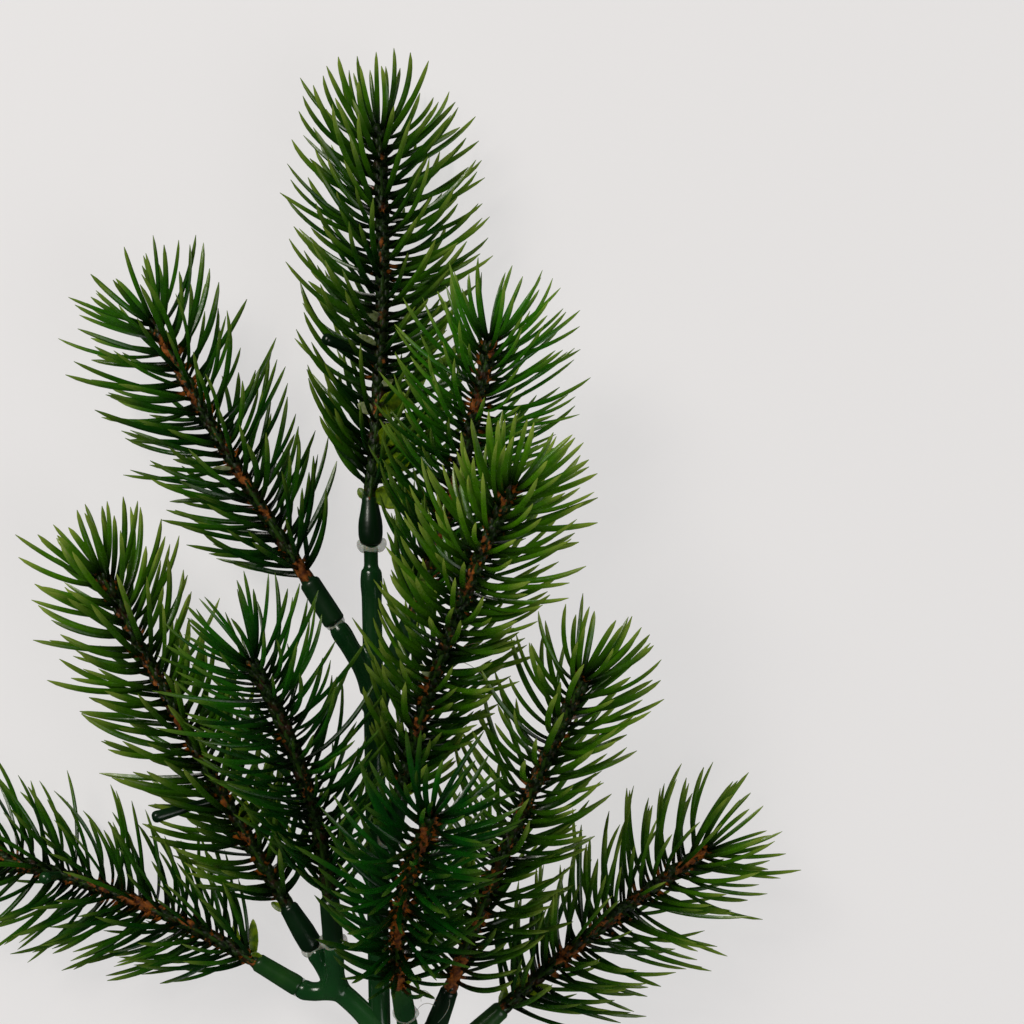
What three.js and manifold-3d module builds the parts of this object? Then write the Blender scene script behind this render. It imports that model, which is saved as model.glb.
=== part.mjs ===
// A moulded plastic spruce branch, lying on a flat surface: a round stem with two forked side arms,
// ten needled sprigs whose sleeves are pushed onto the stem's pegs, and a bead of clear glue at each joint.
// Millimetres. The stem lies along +Y with its cut end at the low end, +X is to the right, and +Z is up.

import * as THREE from "three";
import { mergeVertices } from "three/addons/utils/BufferGeometryUtils.js";
import Module from "manifold-3d";

const wasm = await Module();
wasm.setup();

// The stem and its side arms
const STEM_HEIGHT = 16; // stem axis above the surface
const STEM_TOP = 185; // shoulder that the leading peg stands on, from the cut end
const STEM_RADIUS_LOW = 2.6;
const STEM_RADIUS_HIGH = 2.2;
const SHOULDER_SWELL = 0.25; // how much the stem widens below its shoulder
const SHOULDER_HEIGHT = 5;
const ARM_RADIUS = 2.1;
const TRUNK_RADIUS = 2.3; // an arm before its fork
const ARM_BEND = [0.4, 0.55]; // where an arm bends outwards, as shares of its reach sideways and forwards
const KNUCKLE_RADIUS = 2.9; // swelling where an arm forks
const FIT_GAP = 0.3; // clearance left between pieces that touch

// Pegs, sleeves and glue
const PEG_RADIUS = 1.6;
const PEG_DEPTH = 6.5; // how far a peg reaches into its sleeve
const PEG_NECK = 2.8; // bare peg between the arm and the sleeve, where the glue sits
const SLEEVE_RADIUS = 2.6;
const SLEEVE_BORE = PEG_RADIUS + FIT_GAP;
const SLEEVE_BORE_DEPTH = 7.5;
const SLEEVE_LENGTH = 11;
const SLEEVE_CROWN = 1; // height of its sloping upper end
const GLUE_RADIUS = 3.2;
const GLUE_THICKNESS = 2;
const GLUE_MOUTH = 0.5; // how much narrower the bead is against the sleeve

// The needled twig of a sprig
const TWIG_RADIUS_FOOT = 1.35;
const TWIG_RADIUS_TIP = 1;
const TWIG_END_CAP = 0.02; // share of the twig in its pointed end
const NEEDLED_SPAN = [0.03, 0.98]; // share of the twig that carries needles
const NEEDLE_LENGTH = 25; // at the middle of a sprig
const END_LENGTH = 0.72; // share of that length where a sprig is narrowest
const NEEDLE_RADIUS = 0.62; // where a bent needle turns
const NEEDLE_TURN = 0.5; // share of the length to that place
const BENT_ROOT_RADIUS = 0.3;
const STRAIGHT_ROOT_RADIUS = 0.45;
const NEEDLE_SPREAD = 54; // degrees between a needle and its twig, where the sprig is fullest
const FULLNESS = [0.2, 0.7]; // part of a half wave that the spread follows, from the sprig's foot to its end
const NEEDLE_SWEEP = 17; // degrees that it leaves wider at its root and closes at its tip
const ROW_SPACING = 11;
const SIDE_RANKS = [-90, 90]; // bent needles, in degrees round the twig from straight up
const SIDE_STAGGER = [0.2, 0.6]; // share of a row that each rank stands above the row's start
const OTHER_RANKS = [-150, -30, 30, 150]; // straight needles
const OTHER_STAGGER = [0.9, 0.45, 0.9, 0.45];
const CROWN_NEEDLES = 4; // needles at the twig's end
const CROWN_PLACE = 0.985; // share of the twig where they stand
const CROWN_SPREAD = 17;
const CROWN_LENGTH = 0.78; // share of the longest needle
const UNEVEN_PLACE = 0.14; // unevenness of the needles: in rows, degrees, degrees and share of the length
const UNEVEN_RANK = 3;
const UNEVEN_SPREAD = 5;
const UNEVEN_LENGTH = 0.06;
const STUB_RADIUS = 1.25; // moulding stubs with round ends
const STUB_LEAN = 15; // degrees that a stub leans towards the sprig's tip
const SHORTER = [1, 0.82, 0.64, 0.46]; // lengths tried for a needle whose neighbour is in the way

// Facets of round pieces
const STEM_SIDES = 8;
const LIMB_SIDES = 6;
const SLEEVE_SIDES = 7;
const TWIG_SIDES = 6;
const NEEDLE_SIDES = 3;

const UP = new THREE.Vector3(0, 0, 1);
const FLOOR = -STEM_HEIGHT;

// foot: mouth of the sleeve, from the stem's cut end and axis. heading: degrees to the right of the stem.
// rise: degrees above level. length: mouth to the twig's end.
// sway, bow: how far the twig's end is to its right, and how far its middle is pulled that way.
// stub: [share of the twig, degrees round it, length].
const SPRIGS = [
  { name: "leader_sprig", foot: [0, 191.2, 0], heading: 0, rise: 0, length: 91, sway: 3.5, bow: 5,
    stub: [0.4, -80, 9] },
  { name: "upper_left_sprig", foot: [-8, 173, 2], heading: -36, rise: 2, length: 77, sway: 8 },
  { name: "upper_right_sprig", foot: [5.5, 166.5, 6], heading: 22, rise: 14, length: 73, sway: -5 },
  { name: "front_sprig", foot: [3.3, 127.5, 12], heading: 15, rise: 22, length: 91, sway: 8,
    stub: [0.18, 95, 9] },
  { name: "left_long_sprig", foot: [-14.2, 103, 1], heading: -29.5, rise: 5, length: 94, sway: 3,
    stub: [0.34, -75, 15] },
  { name: "left_inner_sprig", foot: [-9.4, 105, 7], heading: -2, rise: 22, length: 68, sway: -12 },
  { name: "left_low_sprig", foot: [-17.2, 93.6, 0], heading: -58, rise: 0, length: 76, sway: -11,
    stub: [0.72, -20, 8] },
  { name: "lower_front_sprig", foot: [6, 86.5, 8], heading: -5, rise: 45, length: 70, sway: 13 },
  { name: "right_long_sprig", foot: [12, 84.5, 2], heading: 21, rise: 19, length: 90, sway: 3 },
  { name: "right_low_sprig", foot: [21, 83, 0], heading: 49, rise: 1, length: 65, sway: 4 },
];

// root: where the arm leaves the stem. fork: where it divides. carries: the sprigs on its pegs.
const ARMS = [
  { name: "left_arm", root: [0, 79, 0], fork: [-9.8, 94.5, 1],
    carries: ["left_long_sprig", "left_inner_sprig", "left_low_sprig"] },
  { name: "right_arm", root: [0, 62, 0], fork: [11.2, 75.5, 0.5],
    carries: ["lower_front_sprig", "right_long_sprig", "right_low_sprig"] },
];

// Pegs that leave the stem itself, with the height of each on the stem
const STEM_PEGS = { upper_left_sprig: 160, upper_right_sprig: 155, front_sprig: 113 };

const point = (array) => new THREE.Vector3(...array);
const degrees = THREE.MathUtils.degToRad;
const mix = THREE.MathUtils.lerp;
const sprigNamed = (name) => SPRIGS.find((sprig) => sprig.name === name);

// A repeatable uneven number from -1 to 1
const uneven = (seed) => 2 * (Math.abs(Math.sin(seed * 12.9898 + 4.1) * 43758.5453) % 1) - 1;

function solid(geometry) {
  const bare = geometry.clone();
  bare.deleteAttribute("normal");
  bare.deleteAttribute("uv");
  const merged = mergeVertices(bare);
  return new wasm.Manifold(new wasm.Mesh({
    numProp: 3,
    vertProperties: merged.attributes.position.array,
    triVerts: new Uint32Array(merged.index.array),
  }));
}

function geometryOf(body) {
  const mesh = body.getMesh();
  const geometry = new THREE.BufferGeometry();
  geometry.setAttribute("position", new THREE.BufferAttribute(mesh.vertProperties, 3));
  geometry.setIndex(new THREE.BufferAttribute(mesh.triVerts, 1));
  geometry.computeVertexNormals();
  return geometry;
}

const joined = (solids) => solids.reduce((whole, next) => whole.add(next));

// A closed round shape about +Y from its [radius, height] corners
function turned(profile, sides) {
  return new THREE.LatheGeometry(profile.map(([radius, height]) => new THREE.Vector2(radius, height)), sides);
}

// A sprig's own frame: its foot at the origin, its sleeve along +Y, its upper side towards +Z
function placementOf({ foot, heading, rise }) {
  const turn = new THREE.Euler(degrees(rise), 0, degrees(-heading), "ZXY");
  return new THREE.Matrix4().makeRotationFromEuler(turn).setPosition(point(foot));
}

const directionOf = (sprig) => new THREE.Vector3(0, 1, 0).transformDirection(placementOf(sprig));

// Bends a shape that stands on the origin, one unit high, along a curve. `upper` is what its +Z side faces.
function bendAlong(geometry, curve, upper) {
  const places = geometry.attributes.position;
  for (let i = 0; i < places.count; i += 1) {
    const share = THREE.MathUtils.clamp(places.getY(i), 0, 1);
    const along = curve.getTangent(share);
    const side = along.clone().cross(upper).normalize();
    const face = side.clone().cross(along);
    const centre = curve.getPoint(share);
    centre.addScaledVector(side, places.getX(i)).addScaledVector(face, places.getZ(i));
    places.setXYZ(i, centre.x, centre.y, centre.z);
  }
  return geometry;
}

// The limb from `start` to a sprig's foot, and the thinner peg that goes on straight into the sleeve
function pegLimb(start, sprig) {
  const foot = point(sprig.foot);
  const direction = directionOf(sprig);
  const neck = foot.clone().addScaledVector(direction, -PEG_NECK);
  const turn = neck.clone().addScaledVector(direction, -start.distanceTo(neck) / 2);
  const bow = new THREE.QuadraticBezierCurve3(start, turn, neck);
  const route = new THREE.CurvePath();
  route.add(bow);
  route.add(new THREE.LineCurve3(neck, foot.clone().addScaledVector(direction, PEG_DEPTH)));
  const shoulder = bow.getLength() / route.getLength();
  return solid(bendAlong(turned([
    [0, 0],
    [ARM_RADIUS, 0],
    [ARM_RADIUS, shoulder / 3],
    [ARM_RADIUS, (2 * shoulder) / 3],
    [ARM_RADIUS, shoulder],
    [PEG_RADIUS, shoulder],
    [PEG_RADIUS, 1],
    [0, 1],
  ], LIMB_SIDES), route, UP));
}

function mainStem() {
  const leaderPegEnd = sprigNamed("leader_sprig").foot[1] + PEG_DEPTH;
  const shaft = solid(turned([
    [0, 0],
    [STEM_RADIUS_LOW, 0],
    [STEM_RADIUS_LOW, STEM_TOP / 3],
    [STEM_RADIUS_HIGH, STEM_TOP - SHOULDER_HEIGHT],
    [STEM_RADIUS_HIGH + SHOULDER_SWELL, STEM_TOP - SHOULDER_HEIGHT / 2],
    [STEM_RADIUS_HIGH, STEM_TOP],
    [PEG_RADIUS, STEM_TOP],
    [PEG_RADIUS, leaderPegEnd],
    [0, leaderPegEnd],
  ], STEM_SIDES));
  const pegs = Object.entries(STEM_PEGS).map(([name, height]) => (
    pegLimb(new THREE.Vector3(0, height, 0), sprigNamed(name))
  ));
  return joined([shaft, ...pegs]);
}

// An arm ends against the stem, whose room is cut out of it
function sideArm({ root, fork, carries }) {
  const [start, end] = [point(root), point(fork)];
  const turn = new THREE.Vector3(mix(start.x, end.x, ARM_BEND[0]), mix(start.y, end.y, ARM_BEND[1]), end.z);
  const trunk = solid(bendAlong(
    turned([
      [0, 0],
      [TRUNK_RADIUS, 0],
      [TRUNK_RADIUS, 1 / 3],
      [TRUNK_RADIUS, 2 / 3],
      [TRUNK_RADIUS, 1],
      [0, 1],
    ], STEM_SIDES),
    new THREE.QuadraticBezierCurve3(start, turn, end),
    UP,
  ));
  const knuckle = solid(new THREE.IcosahedronGeometry(KNUCKLE_RADIUS, 0).translate(...fork));
  const pegs = carries.map((name) => pegLimb(end, sprigNamed(name)));
  const room = STEM_RADIUS_LOW + FIT_GAP;
  const stemRoom = solid(turned([[0, 0], [room, 0], [room, STEM_TOP], [0, STEM_TOP]], STEM_SIDES));
  return joined([trunk, knuckle, ...pegs]).subtract(stemRoom);
}

const sleeve = () => solid(turned([
  [0, SLEEVE_BORE_DEPTH],
  [SLEEVE_BORE, SLEEVE_BORE_DEPTH],
  [SLEEVE_BORE, 0],
  [SLEEVE_RADIUS, 0],
  [SLEEVE_RADIUS, SLEEVE_LENGTH - SLEEVE_CROWN],
  [TWIG_RADIUS_FOOT, SLEEVE_LENGTH],
  [0, SLEEVE_LENGTH],
], SLEEVE_SIDES));

function twigAxis({ length, sway, bow = 0 }) {
  const start = new THREE.Vector3(0, SLEEVE_LENGTH - SLEEVE_CROWN, 0);
  const middle = new THREE.Vector3(bow, (SLEEVE_LENGTH + length) / 2, 0);
  return new THREE.QuadraticBezierCurve3(start, middle, new THREE.Vector3(sway, length, 0));
}

// The place on a twig's axis, the direction along it, and the direction outwards at an angle round it
function spotOn(sprig, share, azimuth) {
  const axis = twigAxis(sprig);
  const along = axis.getTangent(share);
  const side = along.clone().cross(UP).normalize();
  const face = side.clone().cross(along);
  const angle = degrees(azimuth);
  const outward = face.multiplyScalar(Math.cos(angle)).addScaledVector(side, Math.sin(angle));
  return { place: axis.getPoint(share), along, outward };
}

// A short rod with a round end, left by the mould
function stub(sprig) {
  const [share, azimuth, length] = sprig.stub;
  const { place, along, outward } = spotOn(sprig, share, azimuth);
  const lean = outward.addScaledVector(along, Math.tan(degrees(STUB_LEAN))).normalize();
  const turn = new THREE.Quaternion().setFromUnitVectors(new THREE.Vector3(0, 1, 0), lean);
  const rod = new THREE.CapsuleGeometry(STUB_RADIUS, length, 1, LIMB_SIDES).translate(0, length / 2, 0);
  return solid(rod.applyQuaternion(turn).translate(place.x, place.y, place.z));
}

function bareTwig(sprig) {
  const rod = turned([
    [0, 0],
    [TWIG_RADIUS_FOOT, 0],
    [TWIG_RADIUS_FOOT, 1 / 3],
    [mix(TWIG_RADIUS_FOOT, TWIG_RADIUS_TIP, 0.5), 2 / 3],
    [TWIG_RADIUS_TIP, 1 - TWIG_END_CAP],
    [0, 1],
  ], TWIG_SIDES);
  const parts = [sleeve(), solid(bendAlong(rod, twigAxis(sprig), UP))];
  if (sprig.stub) parts.push(stub(sprig));
  return joined(parts);
}

// Where each needle grows and how it stands. Each draw of unevenness has a seed of its own.
function needlePlan({ length, foot }) {
  const rows = Math.round((length - SLEEVE_LENGTH) / ROW_SPACING);
  const plan = [];
  const grow = (row, rank, stagger, bent) => {
    const seed = plan.length + foot[1];
    const [placeSeed, rankSeed, spreadSeed, lengthSeed] = [seed, seed + 50, seed + 90, seed + 130];
    const share = (row + stagger + UNEVEN_PLACE * uneven(placeSeed)) / rows;
    const fullness = Math.sin(Math.PI * mix(...FULLNESS, share));
    plan.push({
      share: mix(...NEEDLED_SPAN, share),
      azimuth: rank + UNEVEN_RANK * uneven(rankSeed),
      spread: NEEDLE_SPREAD * fullness + UNEVEN_SPREAD * uneven(spreadSeed),
      length: NEEDLE_LENGTH * mix(END_LENGTH, 1, fullness) * (1 + UNEVEN_LENGTH * uneven(lengthSeed)),
      bent,
    });
  };
  for (let row = 0; row < rows; row += 1) {
    SIDE_RANKS.forEach((rank, k) => grow(row, rank, SIDE_STAGGER[k], true));
    OTHER_RANKS.forEach((rank, k) => grow(row, rank, OTHER_STAGGER[k], false));
  }
  for (let k = 0; k < CROWN_NEEDLES; k += 1) {
    plan.push({
      share: CROWN_PLACE,
      azimuth: (360 * (k + 0.25)) / CROWN_NEEDLES,
      spread: CROWN_SPREAD + UNEVEN_SPREAD * uneven(k),
      length: CROWN_LENGTH * NEEDLE_LENGTH,
      bent: false,
    });
  }
  return plan;
}

// A three-sided needle in the branch's frame. It lies on the surface where it would reach through it.
function needle(sprig, placement, { share, azimuth, spread, length, bent }, shorter) {
  const { place, along, outward } = spotOn(sprig, share, azimuth);
  const lean = (angle) => (
    along.clone().multiplyScalar(Math.cos(degrees(angle)))
      .addScaledVector(outward, Math.sin(degrees(angle)))
  );
  const half = (length * shorter) / 2;
  const sweep = Math.min(NEEDLE_SWEEP, spread);
  const knee = place.clone().addScaledVector(lean(spread + sweep), half);
  const tip = knee.clone().addScaledVector(lean(spread - sweep), half);
  const upper = along.clone().cross(outward).transformDirection(placement);
  const [low, bend, high] = [place, knee, tip].map((spot) => spot.applyMatrix4(placement));
  bend.z = Math.max(bend.z, FLOOR + NEEDLE_RADIUS);
  high.z = Math.max(high.z, FLOOR);
  const profile = bent
    ? [[0, 0], [BENT_ROOT_RADIUS, 0], [NEEDLE_RADIUS, NEEDLE_TURN], [0, 1]]
    : [[0, 0], [STRAIGHT_ROOT_RADIUS, 0], [0, 1]];
  const curve = new THREE.QuadraticBezierCurve3(low, bend, high);
  return solid(bendAlong(turned(profile, NEEDLE_SIDES), curve, upper));
}

function boxesMeet(a, b) {
  const [first, second] = [a.boundingBox(), b.boundingBox()];
  return [0, 1, 2].every((k) => (
    first.min[k] < second.max[k] + FIT_GAP && second.min[k] < first.max[k] + FIT_GAP
  ));
}

const isClear = (body, others) => others.every((other) => (
  !boxesMeet(body, other) || body.minGap(other, 2 * FIT_GAP) >= FIT_GAP
));

// The sprig with every needle that finds room beside the pieces already there
function needled(sprig, twig, others) {
  const placement = placementOf(sprig);
  const grown = needlePlan(sprig).map((plan) => (
    SHORTER.map((shorter) => needle(sprig, placement, plan, shorter))
      .find((made) => isClear(made, others))
  ));
  return joined([twig, ...grown.filter(Boolean)]);
}

const glueBead = () => solid(turned([
  [PEG_RADIUS + FIT_GAP, -FIT_GAP - GLUE_THICKNESS],
  [GLUE_RADIUS, -FIT_GAP - GLUE_THICKNESS / 2],
  [GLUE_RADIUS - GLUE_MOUTH, -FIT_GAP],
  [PEG_RADIUS + FIT_GAP, -FIT_GAP],
  [PEG_RADIUS + FIT_GAP, -FIT_GAP - GLUE_THICKNESS],
], LIMB_SIDES));

const stemPlastic = new THREE.MeshStandardMaterial({ color: 0x0b3a14, roughness: 0.35, metalness: 0 });
const needlePlastic = new THREE.MeshStandardMaterial({ color: 0x1f5416, roughness: 0.42, metalness: 0 });
const clearGlue = new THREE.MeshStandardMaterial({
  color: 0xd9dcd6, roughness: 0.2, metalness: 0, transparent: true, opacity: 0.6,
});

// A body of the branch's frame as a mesh whose own frame is `placement`
function meshOf(name, body, material, placement = new THREE.Matrix4()) {
  const geometry = geometryOf(body).applyMatrix4(placement.clone().invert());
  const mesh = new THREE.Mesh(geometry, material);
  mesh.name = name;
  mesh.applyMatrix4(placement);
  return mesh;
}

const branch = new THREE.Group();
const frame = [["main_stem", mainStem()], ...ARMS.map((arm) => [arm.name, sideArm(arm)])];
frame.forEach(([name, body]) => branch.add(meshOf(name, body, stemPlastic)));

const placements = SPRIGS.map(placementOf);
const beads = placements.map((placement) => glueBead().transform(placement.elements));
const twigs = SPRIGS.map((sprig, i) => bareTwig(sprig).transform(placements[i].elements));
const frameBodies = frame.map(([, body]) => body);
const grown = [];
SPRIGS.forEach((sprig, i) => {
  grown.push(needled(sprig, twigs[i], [...frameBodies, ...beads, ...grown, ...twigs.slice(i + 1)]));
  branch.add(meshOf(sprig.name, grown[i], needlePlastic, placements[i]));
  branch.add(meshOf(sprig.name.replace("sprig", "glue"), beads[i], clearGlue, placements[i]));
});

// The origin is on the surface, under the middle of the branch
const reach = new THREE.Box3().setFromObject(branch, true);
const middle = reach.getCenter(new THREE.Vector3());
branch.position.set(-middle.x, -middle.y, STEM_HEIGHT);

const part = new THREE.Group();
part.add(branch);

export default part;
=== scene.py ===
import math

import bmesh
import bpy
from mathutils import Matrix, Vector, noise


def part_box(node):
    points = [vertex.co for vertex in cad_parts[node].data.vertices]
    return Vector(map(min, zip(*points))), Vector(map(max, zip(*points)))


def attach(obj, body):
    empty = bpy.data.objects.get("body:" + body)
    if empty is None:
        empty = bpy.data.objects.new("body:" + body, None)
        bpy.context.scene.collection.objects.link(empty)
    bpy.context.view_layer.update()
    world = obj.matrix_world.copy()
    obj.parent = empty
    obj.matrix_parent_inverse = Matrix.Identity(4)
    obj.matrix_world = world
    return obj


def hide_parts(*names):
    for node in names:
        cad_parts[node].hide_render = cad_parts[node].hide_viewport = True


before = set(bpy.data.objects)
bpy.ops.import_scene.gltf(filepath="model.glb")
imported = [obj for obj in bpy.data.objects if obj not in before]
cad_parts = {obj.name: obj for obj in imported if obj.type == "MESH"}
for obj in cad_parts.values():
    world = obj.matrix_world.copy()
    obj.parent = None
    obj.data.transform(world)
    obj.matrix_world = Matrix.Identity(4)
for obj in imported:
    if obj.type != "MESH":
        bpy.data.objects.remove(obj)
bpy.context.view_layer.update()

mm = 0.001
print("the packed branch is loaded as the frame")

# The stem's axis and cut end in the row frame. Sizes below are millimetres from there, as in the source.
leaderLow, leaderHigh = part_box("leader_glue")
stemX = (leaderLow.x + leaderHigh.x) / 2
stemZ = (leaderLow.z + leaderHigh.z) / 2
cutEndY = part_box("main_stem")[0].y


def place(x, y, z=0):
    return Vector((stemX + x * mm, cutEndY + y * mm, stemZ + z * mm))


# foot: mouth of the sleeve; heading: degrees right of the stem; rise: degrees above level
# length: mouth to the twig's end; sway, bow: how far the twig's end and its middle lie to its right
# stub: share along the twig, degrees round it, length, and the gap in the needles over its end
# lightness: how bright its plastic is, hue: how emerald, both from 0 to 1; paint: how much brown its twig has
# needles: how many; reach: how long, as a share; width: of one; hook: degrees that one bends
# spread, skew: degrees between needle and twig, and how much more on the right
# flare: how much more at the twig's foot; crown: degrees and length of the needles at the twig's end
# sleeve: its lower, middle and upper radius and how far up its mouth is rounded
# glue: how big its bead is; neck: bare peg below the sleeve
sprigs = {
    "leader": dict(
        foot=(0, 191.2, 0), heading=0, rise=0, length=91, sway=3.5, bow=5, stub=(0.37, -50, 15, 3),
        fresh=0.26, hue=0.0, paint=0.45, needles=252, reach=0.98, width=1.28, hook=33,
        spread=62, skew=7, flare=0.24, crown=(24, 17.5), sleeve=(2.68, 2.5, 1.8, 2.9), glue=1.0, neck=1.6,
    ),
    "upperLeft": dict(
        foot=(-8, 174.3, 2), heading=-31, rise=2, length=76.5, sway=1.5, bow=-1, stub=None,
        fresh=0.3, hue=0.35, paint=0.66, needles=150, reach=1.0, width=1.2, hook=20,
        spread=57, skew=0, flare=0.3, crown=(46, 18), sleeve=(2.45, 2.4, 2.3, 0.8), glue=0.4, neck=1.4,
    ),
    "upperRight": dict(
        foot=(5.5, 166.5, 6), heading=22, rise=14, length=73, sway=-5, bow=0, stub=None,
        fresh=0.5, hue=0.5, paint=0.78, needles=208, reach=0.95, width=1.0, hook=26,
        spread=60, skew=0, flare=0.1, crown=(38, 18), sleeve=(2.4, 2.3, 2.1, 0.9), glue=0.6, neck=2.0,
    ),
    "front": dict(
        foot=(3.3, 127.5, 12), heading=15, rise=22, length=86, sway=7.5, bow=0, stub=(0.18, 95, 9, 0),
        fresh=0.5, hue=0.0, paint=0.6, needles=220, reach=0.88, width=1.25, hook=24,
        spread=57, skew=0, flare=0.1, crown=(38, 17), sleeve=(2.4, 2.3, 2.1, 0.9), glue=0.7, neck=2.0,
    ),
    "leftLong": dict(
        foot=(-14.2, 103, 1), heading=-29.5, rise=5, length=94, sway=3, bow=0, stub=(0.34, -75, 15, 0),
        fresh=0.46, hue=0.0, paint=0.62, needles=172, reach=0.93, width=1.38, hook=21,
        spread=54, skew=0, flare=0.42, crown=(30, 15.5), sleeve=(2.55, 2.5, 2.1, 1.7), glue=0.8, neck=1.0,
    ),
    "leftInner": dict(
        foot=(-9.4, 105, 7), heading=-2, rise=22, length=68, sway=-12, bow=0, stub=None,
        fresh=0.2, hue=0.7, paint=0.34, needles=158, reach=1.0, width=1.02, hook=22,
        spread=57, skew=0, flare=0.1, crown=(34, 19.5), sleeve=(2.25, 2.2, 2.2, 0.8), glue=0.85, neck=1.2,
    ),
    "leftLow": dict(
        foot=(-17.6, 94.3, 0), heading=-58, rise=0, length=76, sway=-11, bow=0, stub=(0.72, -3, 8, 0),
        fresh=0.22, hue=0.3, paint=0.72, needles=172, reach=1.0, width=1.06, hook=22,
        spread=58, skew=0, flare=0.25, crown=(36, 16), sleeve=(2.25, 2.15, 2.05, 0.7), glue=0.35, neck=0.5,
    ),
    "lowerFront": dict(
        foot=(6, 89.2, 8), heading=-5, rise=45, length=67, sway=12.5, bow=0, stub=None,
        fresh=0.1, hue=0.9, paint=0.85, needles=146, reach=0.95, width=1.1, hook=20,
        spread=58, skew=0, flare=0.2, crown=(40, 14), sleeve=(2.3, 2.25, 2.1, 0.8), glue=0.7, neck=1.6,
    ),
    "rightLong": dict(
        foot=(12, 84.5, 2), heading=21, rise=19, length=90, sway=3, bow=0, stub=None,
        fresh=0.42, hue=0.0, paint=0.62, needles=170, reach=0.9, width=1.25, hook=25,
        spread=53, skew=-7, flare=0.45, crown=(34, 16.5), sleeve=(2.4, 2.35, 2.0, 1.0), glue=0.7, neck=1.6,
    ),
    "rightLow": dict(
        foot=(18.8, 81.6, 0), heading=49, rise=1, length=67.5, sway=4, bow=0, stub=None,
        fresh=0.34, hue=0.0, paint=0.75, needles=140, reach=1.0, width=1.1, hook=20,
        spread=57, skew=0, flare=0.38, crown=(34, 16.5), sleeve=(2.4, 2.3, 2.1, 0.9), glue=0.7, neck=1.6,
    ),
}
sleeveLength = 11


# A piece's node has the piece's name, with underscores
def nodeOf(name):
    return "".join("_" + letter.lower() if letter.isupper() else letter for letter in name)


# A sprig's own frame: its foot at the origin, its sleeve along +Y, its upper side towards +Z
def sprigMatrix(sprig):
    turn = Matrix.Rotation(math.radians(-sprig["heading"]), 4, "Z")
    rise = Matrix.Rotation(math.radians(sprig["rise"]), 4, "X")
    return Matrix.Translation(place(*sprig["foot"])) @ turn @ rise


def upperSide(sprig):
    return sprigMatrix(sprig).to_3x3() @ Vector((0, 0, 1))


def sleeveHeading(sprig):
    return (sprigMatrix(sprig).to_3x3() @ Vector((0, 1, 0))).normalized()


def quadratic(start, turn, end, share):
    return start * (1 - share) ** 2 + turn * 2 * share * (1 - share) + end * share ** 2


# The twig's axis in the row frame, from the top of the sleeve to its end
def twigPath(sprig, count, first=0.0, last=1.0):
    middle = Vector((sprig["bow"], (sleeveLength + sprig["length"]) / 2, 0))
    ends = Vector((0, sleeveLength - 1, 0)), middle, Vector((sprig["sway"], sprig["length"], 0))
    matrix = sprigMatrix(sprig)
    shares = [first + (last - first) * k / (count - 1) for k in range(count)]
    return [matrix @ (quadratic(*ends, share) * mm) for share in shares]


# The axis between two shares of the twig, its heading there, and the way out that lies so far round it
def roundTwig(sprig, first, last, azimuth):
    path = twigPath(sprig, 3, first, last)
    along = (path[2] - path[0]).normalized()
    right = along.cross(upperSide(sprig)).normalized()
    face = right.cross(along)
    angle = math.radians(azimuth)
    return path, along, face * math.cos(angle) + right * math.sin(angle)


def linked(name, data):
    item = bpy.data.objects.new(name, data)
    bpy.context.collection.objects.link(item)
    return item


# Writes nodes into a tree. A value that is a socket is linked, and any other value is set.
class NodeWriter:
    def __init__(self, tree):
        self.tree = tree

    def give(self, socket, value):
        if isinstance(value, bpy.types.NodeSocket):
            self.tree.links.new(value, socket)
        else:
            socket.default_value = value

    def add(self, kind, inputs=None, **settings):
        node = self.tree.nodes.new(kind)
        for key, value in settings.items():
            setattr(node, key, value)
        for key, value in (inputs or {}).items():
            self.give(node.inputs[key], value)
        return node

    def math(self, operation, *values):
        return self.add("ShaderNodeMath", dict(enumerate(values)), operation=operation).outputs[0]

    def chain(self, operation, values):
        whole = values[0]
        for value in values[1:]:
            whole = self.math(operation, whole, value)
        return whole

    def plus(self, *values):
        return self.chain("ADD", values)

    def times(self, *values):
        return self.chain("MULTIPLY", values)

    def minus(self, first, second):
        return self.math("SUBTRACT", first, second)

    def divided(self, first, second):
        return self.math("DIVIDE", first, second)

    def vector(self, operation, *values):
        node = self.add("ShaderNodeVectorMath", dict(enumerate(values)), operation=operation)
        return node.outputs["Value" if operation in ("LENGTH", "DOT_PRODUCT") else "Vector"]

    def cross(self, first, second):
        return self.vector("CROSS_PRODUCT", first, second)

    def scaled(self, vector, factor):
        node = self.add("ShaderNodeVectorMath", {0: vector, "Scale": factor}, operation="SCALE")
        return node.outputs["Vector"]

    def total(self, *vectors):
        whole = vectors[0]
        for vector in vectors[1:]:
            whole = self.vector("ADD", whole, vector)
        return whole

    def ramp(self, value, low, high, start=0.0, end=1.0, smooth=True):
        kind = "SMOOTHSTEP" if smooth else "LINEAR"
        inputs = {"Value": value, "From Min": low, "From Max": high, "To Min": start, "To Max": end}
        return self.add("ShaderNodeMapRange", inputs, interpolation_type=kind).outputs["Result"]

    # a curve through (position, value) points, both from 0 to 1
    def curve(self, value, points):
        node = self.add("ShaderNodeFloatCurve", {"Value": value})
        line = node.mapping.curves[0]
        line.points[0].location, line.points[1].location = points[0], points[-1]
        for point in points[1:-1]:
            line.points.new(*point)
        node.mapping.update()
        return node.outputs["Value"]


noiseSpan = (0.3, 0.7)  # where most of a noise texture's values lie


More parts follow.
